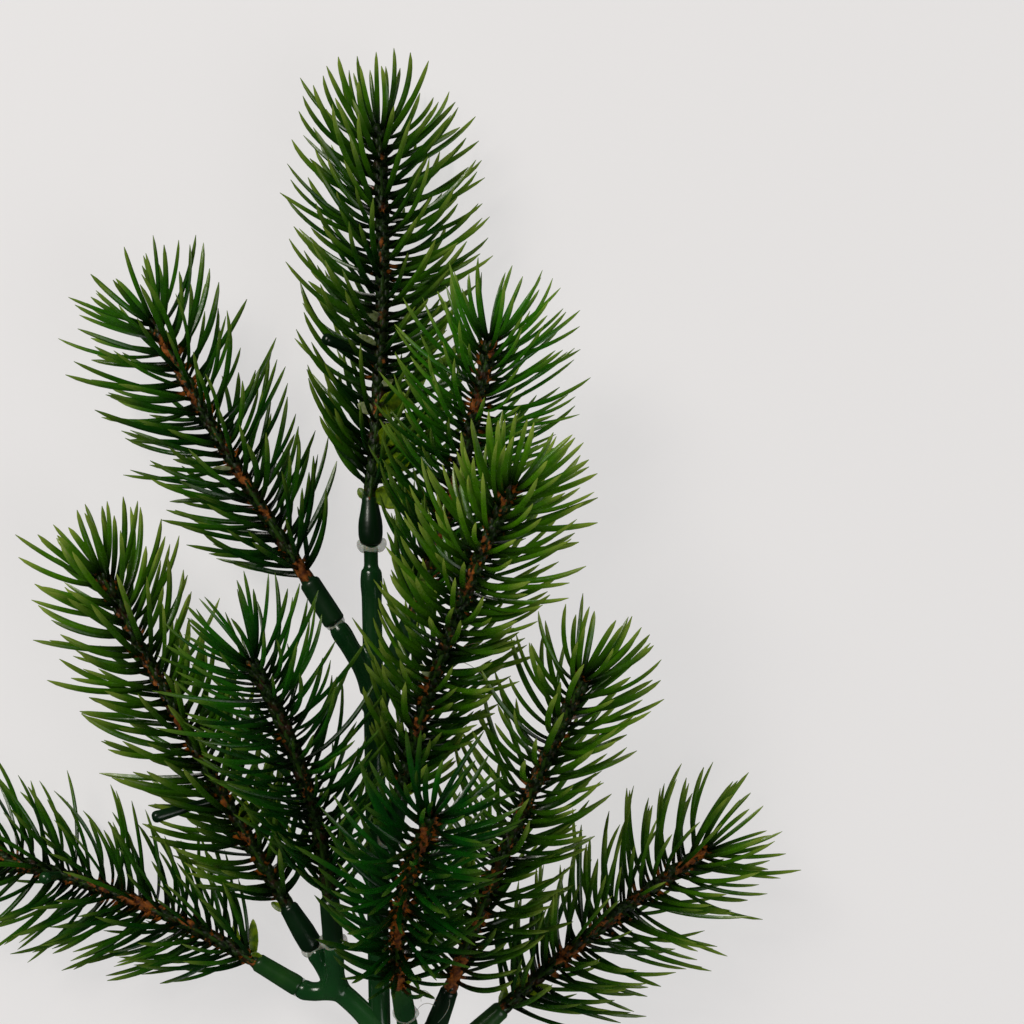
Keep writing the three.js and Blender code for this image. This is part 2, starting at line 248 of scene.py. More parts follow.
# A material's tree, with its shader
class MaterialTree(NodeWriter):
    def __init__(self, name, values):
        self.material = bpy.data.materials.new(name)
        self.material.use_nodes = True
        super().__init__(self.material.node_tree)
        self.shader = self.tree.nodes["Principled BSDF"]
        self.feed(values)

    def feed(self, values):
        for key, value in values.items():
            self.give(self.shader.inputs[key], value)

    def noise(self, scale, detail=2.0, roughness=0.5, stretch=None):
        coordinates = self.add("ShaderNodeTexCoord").outputs["Object"]
        if stretch:
            coordinates = self.add("ShaderNodeMapping", {"Vector": coordinates, "Scale": stretch}).outputs[0]
        inputs = {"Vector": coordinates, "Scale": scale, "Detail": detail, "Roughness": roughness}
        return self.add("ShaderNodeTexNoise", inputs).outputs["Fac"]

    def bump(self, height, strength, distance):
        inputs = {"Height": height, "Strength": strength, "Distance": distance}
        return self.add("ShaderNodeBump", inputs).outputs[0]

    def attribute(self, name, output="Fac"):
        return self.add("ShaderNodeAttribute", attribute_name=name).outputs[output]

    def mix(self, factor, first, second):
        node = self.add("ShaderNodeMix", data_type="RGBA")
        for key, value in (("Factor_Float", factor), ("A_Color", first), ("B_Color", second)):
            self.give(next(s for s in node.inputs if s.identifier == key), value)
        return next(s for s in node.outputs if s.identifier == "Result_Color")

    # brown paint lies where the noise is above an edge, which sinks as the amount grows
    def painted(self, spots, amount):
        short = self.times(self.minus(1.0, amount), 0.3)
        return self.ramp(self.minus(spots, short), 0.46, 0.52)


# A Geometry Nodes tree that grows something along the line of its carrier
class GrowthTree(NodeWriter):
    def __init__(self, name):
        super().__init__(bpy.data.node_groups.new(name, "GeometryNodeTree"))
        self.tree.interface.new_socket("Geometry", in_out="OUTPUT", socket_type="NodeSocketGeometry")
        self.tree.interface.new_socket("Spine", in_out="INPUT", socket_type="NodeSocketGeometry")
        self.entry = self.tree.nodes.new("NodeGroupInput")

    def input(self, name, kind, default=None):
        socket = self.tree.interface.new_socket(name, in_out="INPUT", socket_type="NodeSocket" + kind)
        if default is not None:
            socket.default_value = default
        return self.entry.outputs[name]

    def random(self, low, high, seed):
        inputs = {2: low, 3: high, "Seed": seed}
        return self.add("FunctionNodeRandomValue", inputs, data_type="FLOAT").outputs[1]

    def store(self, geometry, values, kind="FLOAT"):
        for name, value in values.items():
            inputs = {"Geometry": geometry, "Name": name, "Value": value}
            node = self.add("GeometryNodeStoreNamedAttribute", inputs, data_type=kind, domain="POINT")
            geometry = node.outputs[0]
        return geometry

    def read(self, name, kind="FLOAT"):
        return self.add("GeometryNodeInputNamedAttribute", {"Name": name}, data_type=kind).outputs[0]

    def readVectors(self, *names):
        return [self.read(name, "FLOAT_VECTOR") for name in names]

    def position(self):
        return self.add("GeometryNodeInputPosition").outputs[0]

    def index(self):
        return self.add("GeometryNodeInputIndex").outputs[0]

    def noise(self, scale):
        return self.add("ShaderNodeTexNoise", {"Vector": self.position(), "Scale": scale}).outputs["Fac"]

    def split(self, vector):
        node = self.add("ShaderNodeSeparateXYZ", {0: vector})
        return node.outputs["X"], node.outputs["Y"], node.outputs["Z"]

    def joined(self, x, y, z):
        return self.add("ShaderNodeCombineXYZ", {"X": x, "Y": y, "Z": z}).outputs[0]

    def moved(self, geometry, **places):
        inputs = {"Geometry": geometry, **{key.capitalize(): value for key, value in places.items()}}
        return self.add("GeometryNodeSetPosition", inputs).outputs[0]

    # the directions across a line, in its plane and out of it, turned by an angle round the line
    def around(self, along, upper, angle, depth=1.0):
        right = self.vector("NORMALIZE", self.cross(along, upper))
        face = self.scaled(self.cross(right, along), self.times(self.math("COSINE", angle), depth))
        return self.total(face, self.scaled(right, self.math("SINE", angle)))

    def circle(self, sides):
        return self.add("GeometryNodeCurvePrimitiveCircle", {"Resolution": sides, "Radius": 1.0}).outputs[0]

    def swept(self, curve, section, scale):
        return self.add("GeometryNodeCurveToMesh", {
            "Curve": curve, "Profile Curve": section, "Scale": scale, "Fill Caps": True,
        }).outputs[0]

    def upright(self, curve):
        return self.add("GeometryNodeSetCurveNormal", {"Curve": curve}, mode="Z_UP").outputs[0]

    def together(self, *parts):
        node = self.add("GeometryNodeJoinGeometry")
        for part in parts:
            self.tree.links.new(part, node.inputs[0])
        return node.outputs[0]

    def finish(self, geometry, material):
        real = self.add("GeometryNodeRealizeInstances", {"Geometry": geometry}).outputs[0]
        coated = self.add("GeometryNodeSetMaterial", {"Geometry": real, "Material": material}).outputs[0]
        end = self.tree.nodes.new("NodeGroupOutput")
        self.tree.links.new(coated, end.inputs["Geometry"])


# A mesh of lines through points, which carries a tree until its result is made plain
def lineObject(name, lines):
    mesh = bpy.data.meshes.new(name)
    vertices, edges = [], []
    for line in lines:
        edges += [(len(vertices) + k, len(vertices) + k + 1) for k in range(len(line) - 1)]
        vertices += line
    mesh.from_pydata(vertices, edges, [])
    return linked(name, mesh)


# The plain mesh that a carrier's modifiers make of it. The carrier is removed.
def plainMesh(carrier):
    bpy.context.view_layer.update()
    depsgraph = bpy.context.evaluated_depsgraph_get()
    mesh = bpy.data.meshes.new_from_object(carrier.evaluated_get(depsgraph), depsgraph=depsgraph)
    carrier.modifiers.clear()
    bpy.data.objects.remove(carrier)
    return mesh


# Runs a tree on its carrier. Its inputs are set by identifier before the first evaluation.
def grown(carrier, growth, values):
    modifier = carrier.modifiers.new("growth", "NODES")
    modifier.node_group = growth.tree
    sockets = {s.name: s.identifier for s in growth.tree.interface.items_tree if s.in_out == "INPUT"}
    for name, value in values.items():
        modifier[sockets[name]] = value
    return plainMesh(carrier)


def piece(name, mesh, node):
    mesh.name = name
    item = linked(name, mesh)
    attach(item, "root")
    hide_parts(node)


needleLook = dict(
    # root: painted shade, near-black where the needles crowd round the twig
    root=(0.0003, 0.0035, 0.0001, 1), dark=(0.004, 0.040, 0.001, 1), bright=(0.075, 0.235, 0.002, 1),
    emeraldDark=(0.001, 0.040, 0.002, 1), emeraldBright=(0.012, 0.210, 0.004, 1),
    tipDark=(0.085, 0.160, 0.012, 1), tipBright=(0.330, 0.440, 0.060, 1), paint=(0.300, 0.085, 0.010, 1),
    roughness=(0.15, 0.32), relief=(0.18, 0.0002), streakScale=900, mottleScale=220,
    uneven=0.5, emeraldTip=0.6,  # how much one needle and its mottling differ, and how emerald a tip may be
    # the shares of its length over which each of these sets in; before bodySpan the root colour is painted
    # shade
    bodySpan=(0.04, 0.62), tipSpan=(0.62, 1.0), paintSpan=(0.13, 0.05),
)


# Near-black at the root as painted shade where the needles crowd round the twig, brighter along the blade and
# yellow-green at the tip, with fine streaks
def needlePlastic():
    look = needleLook
    tree = MaterialTree("needlePlastic", {"Specular IOR Level": 0.32})
    # the needles' lightness attribute carries the sprig's own lightness and painted light that grows towards
    # the twig's end
    names = ("along", "tint", "fresh", "hue", "paint")
    along, tint, fresh, hue, paint = (tree.attribute(name) for name in names)
    mottle = tree.noise(look["mottleScale"], 3)
    tone = tree.plus(fresh, *(tree.times(tree.minus(value, 0.5), look["uneven"]) for value in (tint, mottle)))
    tone = tree.ramp(tone, 0.0, 1.0, smooth=False)
    emerald = tree.mix(tone, look["emeraldDark"], look["emeraldBright"])
    body = tree.mix(hue, tree.mix(tone, look["dark"], look["bright"]), emerald)
    tip = tree.mix(tone, look["tipDark"], look["tipBright"])
    tip = tree.mix(tree.times(hue, look["emeraldTip"]), tip, emerald)
    # painted shade: each needle darkens towards its root, where the twig's crowded middle lies in shade
    color = tree.mix(tree.ramp(along, *look["bodySpan"]), look["root"], body)
    color = tree.mix(tree.ramp(along, *look["tipSpan"]), color, tip)
    splash = tree.painted(tree.noise(look["mottleScale"], 2), paint)
    splash = tree.times(splash, tree.ramp(along, *look["paintSpan"]))
    streak = tree.noise(look["streakScale"], 2)
    tree.feed({
        "Base Color": tree.mix(splash, color, look["paint"]),
        "Roughness": tree.ramp(streak, *noiseSpan, *look["roughness"]),
        "Normal": tree.bump(streak, *look["relief"]),
    })
    return tree.material


twigLook = dict(
    dark=(0.002, 0.007, 0.001, 1), green=(0.014, 0.040, 0.003, 1), bark=(0.030, 0.010, 0.003, 1),
    rib=(0.022, 0.062, 0.003, 1), paint=(0.360, 0.105, 0.010, 1), paintDark=(0.070, 0.016, 0.003, 1),
    patchScale=0.42, patchStretch=0.4, edgeScale=1400, barkScale=420, stainScale=800,
    ragged=0.4, roughness=(0.42, 0.66), relief=(0.5, 0.0003),
)


# Dark green, barky in places, with brown paint in patches whose edges are ragged
def twigPlastic():
    look = twigLook
    tree = MaterialTree("twigPlastic", {"Specular IOR Level": 0.25})
    spot = tree.attribute("spot", "Vector")
    spot = tree.add("ShaderNodeMapping", {"Vector": spot, "Scale": (1, look["patchStretch"], 1)}).outputs[0]
    inputs = {"Vector": spot, "Scale": look["patchScale"], "Detail": 2.0}
    patches = tree.add("ShaderNodeTexNoise", inputs).outputs["Fac"]
    edges = tree.noise(look["edgeScale"], 3, 0.6)
    spots = tree.plus(patches, tree.times(tree.minus(edges, 0.5), look["ragged"]))
    covered = tree.painted(spots, tree.attribute("painted"))
    green = tree.mix(tree.ramp(edges, 0.35, 0.65), look["dark"], look["green"])
    base = tree.mix(tree.ramp(tree.noise(look["barkScale"], 3), 0.5, 0.7), green, look["bark"])
    base = tree.mix(tree.attribute("rib"), base, look["rib"])
    stain = tree.ramp(tree.noise(look["stainScale"], 3), *noiseSpan)
    paint = tree.mix(stain, look["paintDark"], look["paint"])
    tree.feed({
        "Base Color": tree.mix(covered, base, paint),
        "Roughness": tree.ramp(covered, 0.0, 1.0, *look["roughness"]),
        "Normal": tree.bump(edges, *look["relief"]),
    })
    return tree.material


# dark and light colour, roughness, and how much it is scuffed
smoothLook = dict(
    stem=((0.0025, 0.022, 0.006, 1), (0.007, 0.050, 0.010, 1), 0.2, 0.5),
    arm=((0.005, 0.042, 0.010, 1), (0.014, 0.080, 0.016, 1), 0.2, 0.5),
    sleeve=((0.001, 0.010, 0.003, 1), (0.004, 0.030, 0.006, 1), 0.3, 0.7),
    freshSleeve=((0.004, 0.040, 0.008, 1), (0.020, 0.088, 0.009, 1), 0.3, 0.5),
    scuff=(0.20, 0.26, 0.20, 1), cloudScale=60, grainScale=1500, scratchScale=260,
    scratchSpan=(0.68, 0.76), scuffRoughness=0.3, relief=(0.25, 0.0004),
)


# The smooth glossy plastic of the stem, arms and sleeves, with faint clouds, scuffs and fine scratches
def smoothPlastic(name):
    look = smoothLook
    dark, light, roughness, scuffs = look[name]
    shine = {"Specular IOR Level": 0.5, "Coat Weight": 0.2, "Coat Roughness": 0.15}
    tree = MaterialTree(name + "Plastic", shine)
    clouds = tree.noise(look["cloudScale"], 3)
    scratches = tree.noise(look["scratchScale"], 4, 0.7, stretch=(1, 0.16, 1))
    scuffed = tree.ramp(scratches, *look["scratchSpan"], 0.0, scuffs)
    rough = tree.ramp(clouds, *noiseSpan, roughness - 0.04, roughness + 0.07)
    relief = tree.plus(tree.times(tree.noise(look["grainScale"], 2), 0.3), clouds)
    tree.feed({
        "Base Color": tree.mix(scuffed, tree.mix(tree.ramp(clouds, *noiseSpan), dark, light), look["scuff"]),
        "Roughness": tree.plus(rough, tree.times(scuffed, look["scuffRoughness"])),
        "Normal": tree.bump(relief, *look["relief"]),
    })
    return tree.material


scaleLook = dict(
    scale=((0.030, 0.085, 0.001, 1), (0.150, 0.240, 0.001, 1)),
    paleScale=((0.150, 0.200, 0.060, 1), (0.420, 0.480, 0.260, 1)), grainScale=700,
)


# The thin see-through flakes of flash on a sprig, yellow-green or pale
def scalePlastic(name):
    tree = MaterialTree(name + "Plastic", {
        "Subsurface Weight": 0.3, "Subsurface Scale": 0.002, "Subsurface Radius": (0.9, 1.0, 0.2),
        "Roughness": 0.35,
    })
    grain = tree.noise(scaleLook["grainScale"], 3)
    tree.feed({
        "Base Color": tree.mix(tree.ramp(grain, *noiseSpan), *scaleLook[name]),
        "Normal": tree.bump(grain, 0.3, 0.0003),
    })
    return tree.material


glueLook = dict(clear=(0.64, 0.66, 0.55, 1), cloudy=(0.42, 0.45, 0.35, 1), cloudScale=700, clarity=0.48)


def clearGlue():
    look = glueLook
    tree = MaterialTree("clearGlue", {
        "Alpha": look["clarity"], "Subsurface Weight": 0.2, "Subsurface Scale": 0.002,
        "Coat Weight": 0.4, "Coat Roughness": 0.08,
    })
    clouds = tree.noise(look["cloudScale"], 3)
    tree.feed({
        "Base Color": tree.mix(tree.ramp(clouds, *noiseSpan), look["cloudy"], look["clear"]),
        "Roughness": tree.ramp(clouds, *noiseSpan, 0.3, 0.5),
        "Normal": tree.bump(clouds, 0.4, 0.0004),
    })
    return tree.material


needleMaterial = needlePlastic()
twigMaterial = twigPlastic()
stemMaterial, armMaterial = smoothPlastic("stem"), smoothPlastic("arm")
sleeveMaterial, freshSleeveMaterial = smoothPlastic("sleeve"), smoothPlastic("freshSleeve")
scaleMaterial, paleScaleMaterial = scalePlastic("scale"), scalePlastic("paleScale")
glueMaterial = clearGlue()
print("materials are ready")

needleValues = dict(
    length=25, thickness=0.8, steps=12,  # the longest needle, how thick one is, and its points
    reaches=(0.66, 1.08), crownReaches=(0.8, 1.05),  # the lengths of single needles, as shares
    topBand=10, bandWidth=150,  # angles round the twig that carry needles, in degrees
    placeJitter=0.07, leanJitter=0.2, crownDepth=0.6,  # crownDepth: how thick the fan at the end is
    rootHandle=0.3, tipHandle=0.34,  # shares of its length over which it holds its first and its last heading
    tipTurn=0.75,  # how much of its bend lies past the middle
    leanSpan=(0.1, 0.7), leastBend=0.4,  # a needle that leans less than this, in radians, bends less
    crownNeedles=12, freshness=(0.45, 1.3),  # painted light: how bright they are made at the twig's foot and at its end, as if more light fell on the raised end
    floorGap=0.5, floorEase=2, sole=0.02,  # where a low needle lies, and the lowest that any part of it is
    clearOf=3.2, clearWidth=(0.8, 2.8), clearDepth=(-2.4, -1.2),  # how far round a limb they make room for it
    overFrom=1.5,  # a needle whose root is no further than this below a limb passes over it
    stubAhead=3, stubSide=0.2,  # only needles that start this far from a stub's end, on its side, are cleared
    seed=7, seeds=dict(lean=11, reach=12, crown=13, uneven=21),
    # what differs from needle to needle
    uneven=dict(tint=(0.0, 1.0), curl=(-0.14, 0.14), tilt=(-0.6, 0.6), girth=(0.78, 1.12), bend=(0.4, 1.35)),
    # along the twig: how much of the spread and of the length there is
    fullness=[(0, 0.52), (0.14, 0.72), (0.36, 0.96), (0.6, 1.0), (0.84, 0.92), (1, 0.70)],
    lengths=[(0, 0.70), (0.14, 0.86), (0.35, 0.96), (0.6, 1.0), (0.86, 0.98), (1, 0.86)],
    # a flat blade: narrow at the root, broad to two thirds of its length, then pointed
    blade=[(0, 0.8), (0.1, 0.78), (0.3, 0.94), (0.55, 1.0), (0.78, 0.88), (0.93, 0.58), (1, 0.12)],
)
goldenShare, goldenAngle = 0.6180339, 2.399963


# Roots along the twig: places on both sides of it that leave its upper and lower middle line bare
def rootPoints(growth, count, seed, radius, upper):
    values = needleValues
    curve = growth.add("GeometryNodeMeshToCurve", {"Mesh": growth.entry.outputs["Spine"]}).outputs[0]
    points = growth.add("GeometryNodeCurveToPoints", {"Curve": curve, "Count": count}, mode="COUNT")
    index = growth.index()
    side = growth.minus(1, growth.times(growth.math("MODULO", index, 2), 2))
    jitter = values["placeJitter"]
    turn = growth.plus(growth.times(index, goldenShare), growth.random(-jitter, jitter, seed))
    angle = growth.times(growth.math("FRACT", turn), math.radians(values["bandWidth"]))
    angle = growth.times(growth.plus(angle, math.radians(values["topBand"])), side)
    along = points.outputs["Tangent"]
    outward = growth.around(along, upper, angle)
    rooted = growth.moved(points.outputs["Points"], offset=growth.scaled(outward, radius))
    rooted = growth.store(rooted, {"outward": outward, "heading": along}, "FLOAT_VECTOR")
    return growth.store(rooted, {"share": growth.divided(index, growth.minus(count, 1))})


# The roots of the fan of needles at the twig's end
def crownPoints(growth, count, place, heading, upper, radius, spread, length):
    values = needleValues
    crown = growth.add("GeometryNodePoints", {"Count": count, "Position": place}).outputs[0]
    index = growth.index()
    outward = growth.around(heading, upper, growth.times(index, goldenAngle), values["crownDepth"])
    outward = growth.vector("NORMALIZE", outward)
    share = growth.math("SQRT", growth.divided(growth.plus(index, 1.0), count))
    crown = growth.store(crown, {"outward": outward, "heading": heading}, "FLOAT_VECTOR")
    crown = growth.store(crown, {
        "share": 1.0, "lean": growth.times(spread, share),
        "reach": growth.times(length, growth.random(*values["crownReaches"], values["seeds"]["crown"])),
    })
    return growth.moved(crown, offset=growth.scaled(outward, growth.times(radius, share)))


# Takes out the needles that would grow over the round end of the sprig's stub
def clearStub(growth, roots, stubEnd, stubGap, upper):
    values = needleValues
    lean = growth.read("lean")
    root, heading, outward = growth.readVectors("root", "heading", "outward")
    flat = (1, 1, 0)
    toward = growth.total(growth.scaled(heading, growth.math("COSINE", lean)),
                          growth.scaled(outward, growth.math("SINE", lean)))
    toward = growth.vector("NORMALIZE", growth.vector("MULTIPLY", toward, flat))
    gap = growth.vector("MULTIPLY", growth.vector("SUBTRACT", stubEnd, root), flat)
    near = growth.math("LESS_THAN", growth.vector("LENGTH", growth.cross(toward, gap)), stubGap)
    ahead = growth.vector("DOT_PRODUCT", toward, gap)
    ahead = growth.math("GREATER_THAN", ahead, values["stubAhead"] * mm)
    raised = growth.vector("DOT_PRODUCT", outward, upper)
    raised = growth.math("GREATER_THAN", raised, values["stubSide"])
    inputs = {"Geometry": roots, "Selection": growth.times(near, ahead, raised)}
    return growth.add("GeometryNodeDeleteGeometry", inputs, domain="POINT").outputs[0]


# Where a needle's points lie: its heading turns from lean + bend at the root back to less than its lean
def needleSpot(growth, hook):
    values = needleValues
    at, lean = growth.read("along"), growth.read("lean")
    lessened = growth.ramp(lean, *values["leanSpan"], values["leastBend"], 1.0)
    bend = growth.times(hook, growth.read("bend"), lessened)
    firstAngle = growth.plus(lean, bend)
    lastAngle = growth.minus(lean, growth.times(bend, values["tipTurn"]))
    left = growth.minus(1.0, at)
    first, second = growth.times(left, left, at, 3.0), growth.times(at, at, left, 3.0)
    third = growth.times(at, at, at)
    parts = []
    for operation in ("COSINE", "SINE"):
        end = growth.math(operation, lean)
        start = growth.times(growth.math(operation, firstAngle), values["rootHandle"])
        before = growth.minus(end, growth.times(growth.math(operation, lastAngle), values["tipHandle"]))
        terms = ((first, start), (second, before), (third, end))
        parts.append(growth.plus(*(growth.times(weight, handle) for weight, handle in terms)))
    forward, outwards = parts
    root, heading, outward = growth.readVectors("root", "heading", "outward")
    curl = growth.scaled(growth.cross(heading, outward), growth.times(growth.read("curl"), at, at))
    offset = growth.total(growth.scaled(heading, forward), growth.scaled(outward, outwards), curl)
    return growth.total(root, growth.scaled(offset, growth.read("reach")))


# A needle that meets the stem, an arm or another sprig's twig lies over or under it
def passLimbs(growth, spot, others, clearance):
    values = needleValues
    limbs = growth.add("GeometryNodeObjectInfo", {"Object": others}, transform_space="ORIGINAL")
    inputs = {"Geometry": limbs.outputs["Geometry"], "Sample Position": spot}
    nearest = growth.add("GeometryNodeProximity", inputs, target_element="EDGES").outputs["Position"]
    gapX, gapY, gapZ = growth.split(growth.vector("SUBTRACT", spot, nearest))
    aside = growth.math("SQRT", growth.plus(growth.times(gapX, gapX), growth.times(gapY, gapY)))
    rootHeight = growth.split(growth.read("root", "FLOAT_VECTOR"))[2]
    limbHeight = growth.split(nearest)[2]
    over = growth.math("GREATER_THAN", rootHeight, growth.minus(limbHeight, values["overFrom"] * mm))
    sign = growth.minus(growth.times(over, 2), 1)
    above = growth.times(gapZ, sign)
    wide, high = growth.divided(aside, clearance), growth.divided(above, clearance)
    push = growth.math("MAXIMUM", growth.minus(clearance, above), 0.0)
    push = growth.times(push, growth.ramp(wide, *values["clearWidth"], 1.0, 0.0),
                        growth.ramp(high, *values["clearDepth"]))
    return growth.vector("ADD", spot, growth.joined(0.0, 0.0, growth.times(push, sign)))


# The diamond section of a needle, with its two sharp edges marked
def needleSection(growth, width, thickness):
    inputs = {"Points": 4, "Inner Radius": 0.40, "Outer Radius": 0.5}
    diamond = growth.add("GeometryNodeCurveStar", inputs).outputs["Curve"]
    corner = growth.minus(1.0, growth.math("MODULO", growth.index(), 2))
    diamond = growth.store(diamond, {"corner": corner})
    inputs = {"Geometry": diamond, "Scale": growth.joined(width, thickness, 1.0)}
    return growth.add("GeometryNodeTransform", inputs).outputs[0]


def needleTree():
    values = needleValues
    growth = GrowthTree("needleGrowth")
    count = growth.input("Count", "Int", 120)
    seed = growth.input("Seed", "Int", 1)
    longest = growth.input("Needle Length", "Float", values["length"] * mm)
    width = growth.input("Needle Width", "Float", 1.5 * mm)
    thickness = growth.input("Needle Thickness", "Float", values["thickness"] * mm)
    spread = growth.input("Spread", "Float", math.radians(54))
    skew = growth.input("Skew", "Float", 0.0)
    flare = growth.input("Foot Flare", "Float", 0.0)
    hook = growth.input("Hook", "Float", math.radians(20))
    crownCount = growth.input("Crown Needles", "Int", values["crownNeedles"])
    crownSpread = growth.input("Crown Spread", "Float", math.radians(30))
    crownLength = growth.input("Crown Length", "Float", 15 * mm)
    radius = growth.input("Twig Radius", "Float", 0.9 * mm)
    upper = growth.input("Upper Side", "Vector", (0, 0, 1))
    tipPlace = growth.input("Twig End", "Vector", (0, 0, 0))
    tipHeading = growth.input("Twig Heading", "Vector", (0, 1, 0))
    freshness = growth.input("Freshness", "Float", 0.5)
    hue = growth.input("Emerald", "Float", 0.0)
    paint = growth.input("Root Paint", "Float", 0.5)
    others = growth.input("Other Limbs", "Object")
    clearance = growth.input("Clearance", "Float", values["clearOf"] * mm)
    floor = growth.input("Floor Gap", "Float", values["floorGap"] * mm)
    stubEnd = growth.input("Stub End", "Vector", (0, 0, 0))
    stubGap = growth.input("Stub Gap", "Float", 0.0)
    material = growth.input("Material", "Material")

    # the sides of the twig: spread and length follow the sprig's outline
    rooted = rootPoints(growth, count, seed, radius, upper)
    share = growth.read("share")
    outward, heading = growth.readVectors("outward", "heading")
    wider = growth.times(flare, growth.ramp(share, 0.0, 0.45, 1.0, 0.0))
    full = growth.plus(growth.curve(share, values["fullness"]), wider)
    size = growth.plus(growth.curve(share, values["lengths"]), growth.times(wider, 0.5))
    rightward = growth.vector("DOT_PRODUCT", outward, growth.cross(heading, upper))
    aside = growth.times(skew, rightward)
    jitter, seeds = values["leanJitter"], values["seeds"]
    lean = growth.plus(growth.times(spread, full), growth.random(-jitter, jitter, seeds["lean"]), aside)
    reach = growth.times(longest, size, growth.random(*values["reaches"], seeds["reach"]))
    rooted = growth.store(rooted, {"lean": lean, "reach": reach})
    crown = crownPoints(growth, crownCount, tipPlace, tipHeading, upper, radius, crownSpread, crownLength)
    roots = growth.together(rooted, crown)

    # what stays the same along a needle
    roots = growth.store(roots, {"root": growth.position()}, "FLOAT_VECTOR")
    for order, (name, span) in enumerate(values["uneven"].items()):
        roots = growth.store(roots, {name: growth.random(*span, growth.plus(seed, seeds["uneven"] + order))})
    roots = growth.store(roots, {"needle": growth.index()}, "INT")
    roots = clearStub(growth, roots, stubEnd, stubGap, upper)

    # each root becomes a row of points along its curved needle, and a low one lies along the floor
    inputs = {"Geometry": roots, "Amount": values["steps"]}
    rows = growth.add("GeometryNodeDuplicateElements", inputs, domain="POINT")
    along = growth.divided(rows.outputs["Duplicate Index"], values["steps"] - 1.0)
    line = growth.store(rows.outputs["Geometry"], {"along": along})
    x, y, z = growth.split(passLimbs(growth, needleSpot(growth, hook), others, clearance))
    z = growth.math("SMOOTH_MAX", z, floor, values["floorEase"] * mm)
    line = growth.moved(line, position=growth.joined(x, y, z))
    inputs = {"Points": line, "Curve Group ID": growth.read("needle", "INT"), "Weight": growth.read("along")}
    curves = growth.upright(growth.add("GeometryNodePointsToCurves", inputs).outputs[0])
    curves = growth.add("GeometryNodeSetCurveTilt", {"Curve": curves, "Tilt": growth.read("tilt")}).outputs[0]

    # the blades along those rows, none of them below the floor
    blade = growth.times(growth.curve(growth.read("along"), values["blade"]), growth.read("girth"))
    blades = growth.swept(curves, needleSection(growth, width, thickness), blade)
    x, y, z = growth.split(growth.position())
    z = growth.math("MAXIMUM", z, values["sole"] * mm)
    blades = growth.moved(blades, position=growth.joined(x, y, z))
    # painted light: the needles are made brighter towards the twig's raised end, where more light falls, on
    # top of the sprig's own lightness
    paintedLightAlong = growth.ramp(growth.read("share"), 0.0, 1.0, *values["freshness"], smooth=False)
    blades = growth.store(blades, {"fresh": growth.times(freshness, paintedLightAlong), "hue": hue, "paint": paint})
    edges = growth.math("GREATER_THAN", growth.read("corner"), 0.9)
    inputs = {"Geometry": blades, "Selection": edges, "Shade Smooth": False}
    blades = growth.add("GeometryNodeSetShadeSmooth", inputs, domain="EDGE").outputs[0]
    growth.finish(blades, material)
    return growth


twigValues = dict(
    footRadius=1.4, tipRadius=1.05, rings=150, sides=14, lump=0.3, grainScale=900,
    cushionLength=3.2, cushionWidth=1.9, cushionHeight=1.3, cushionSizes=(0.75, 1.15), cushionSeed=14,
    rootedAt=0.95, ribRadius=0.45, ribSides=8, ribHeights=(0.6, 1.0), wanderScale=160,
    closing=[(0, 1), (0.9, 1), (0.97, 0.9), (0.99, 0.6), (1, 0.05)],  # how the twig's end rounds off
)


def twigTree():
    values = twigValues
    growth = GrowthTree("twigGrowth")
    count = growth.input("Count", "Int", 120)
    seed = growth.input("Seed", "Int", 1)
    foot = growth.input("Foot Radius", "Float", values["footRadius"] * mm)
    tip = growth.input("Tip Radius", "Float", values["tipRadius"] * mm)
    lump = growth.input("Lumpiness", "Float", values["lump"] * mm)
    size = growth.input("Cushion Size", "Vector", (0, 0, 0))
    ribRadius = growth.input("Rib Radius", "Float", values["ribRadius"] * mm)
    upper = growth.input("Upper Side", "Vector", (0, 0, 1))
    material = growth.input("Material", "Material")

    # the rod, thinner and rounded off at its end
    curve = growth.add("GeometryNodeMeshToCurve", {"Mesh": growth.entry.outputs["Spine"]}).outputs[0]
    inputs = {"Curve": curve, "Count": values["rings"]}
    curve = growth.upright(growth.add("GeometryNodeResampleCurve", inputs, mode="COUNT").outputs[0])
    factor = growth.add("GeometryNodeSplineParameter").outputs["Factor"]
    taper = growth.ramp(factor, 0.0, 1.0, foot, tip, smooth=False)
    close = growth.curve(factor, values["closing"])
    rod = growth.swept(curve, growth.circle(values["sides"]), growth.times(taper, close))
    push = growth.times(growth.minus(growth.noise(values["grainScale"]), 0.4), lump)
    rod = growth.moved(rod, offset=growth.scaled(growth.add("GeometryNodeInputNormal").outputs[0], push))

    # the leaf cushions, one under each needle
    rooted = rootPoints(growth, count, seed, growth.times(tip, values["rootedAt"]), upper)
    outward, heading = growth.readVectors("outward", "heading")
    inputs = {"Primary Axis": outward, "Secondary Axis": heading}
    facing = growth.add("FunctionNodeAxesToRotation", inputs, primary_axis="Z", secondary_axis="Y").outputs[0]
    bead = growth.add("GeometryNodeMeshUVSphere", {"Segments": 8, "Rings": 6, "Radius": 1.0}).outputs["Mesh"]
    scale = growth.scaled(size, growth.random(*values["cushionSizes"], values["cushionSeed"]))
    inputs = {"Points": rooted, "Instance": bead, "Rotation": facing, "Scale": scale}
    cushions = growth.add("GeometryNodeInstanceOnPoints", inputs).outputs[0]

    # the thin rib along its upper side, now and then hidden between the cushions
    wander = growth.ramp(growth.noise(values["wanderScale"]), 0.35, 0.65, *values["ribHeights"])
    lifted = growth.moved(curve, offset=growth.scaled(upper, growth.times(taper, wander)))
    rib = growth.swept(lifted, growth.circle(values["ribSides"]), growth.times(ribRadius, close))
    rib = growth.store(rib, {"rib": 1.0})
    whole = growth.together(rod, cushions, rib)
    growth.finish(growth.add("GeometryNodeSetShadeSmooth", {"Geometry": whole}).outputs[0], material)
    return growth


def addFace(target, corners, materialIndex=0):
    face = target.faces.new(corners)
    face.material_index = materialIndex
    face.smooth = True


